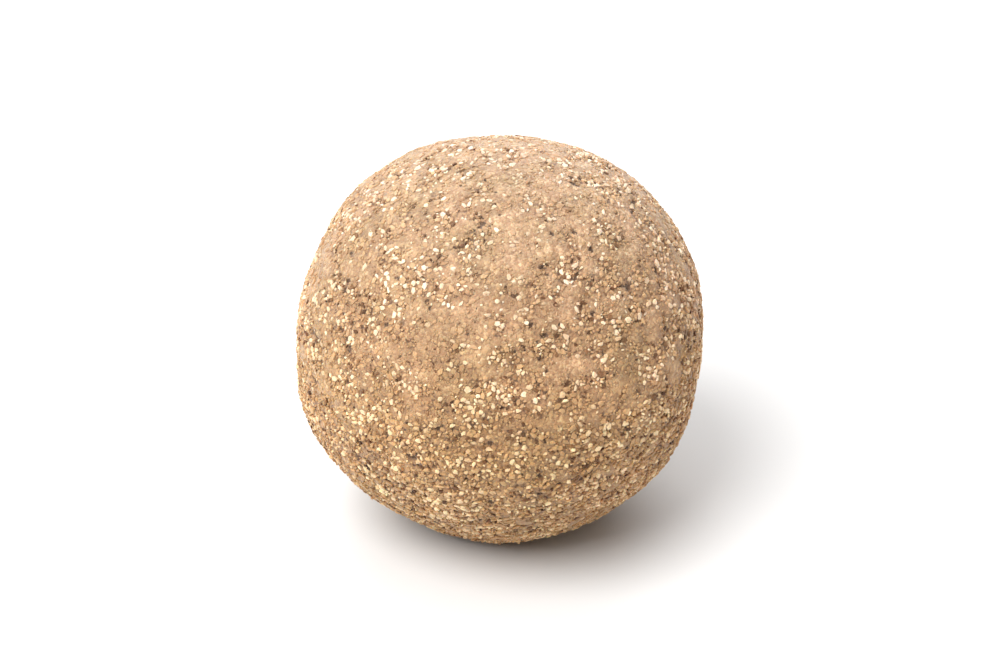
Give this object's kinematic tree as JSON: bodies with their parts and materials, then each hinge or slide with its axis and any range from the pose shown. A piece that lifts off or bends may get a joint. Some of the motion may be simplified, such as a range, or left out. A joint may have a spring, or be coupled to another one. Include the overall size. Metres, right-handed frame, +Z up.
{
  "type": "millet laddu",
  "caption": "Hand-rolled ball of coarse millet dough with a sandy, speckled skin and faint flats left by the palms, resting on a small flat spot.",
  "frame": {"origin": "on the floor, in the plane of the flat spot, under the middle of the ball's width and depth", "axes": "+Z up, out of the flat spot; -Y towards the camera, the side that shows in the picture; +X to the right in the picture"},
  "size_m": [0.0398, 0.0402, 0.0395],
  "materials": {
    "millet_dough": "dry, matte and sandy, with pale grits and dark bran flecks"
  },
  "bodies": {
    "root": {"laddu": "millet_dough"}
  },
  "joints": []
}
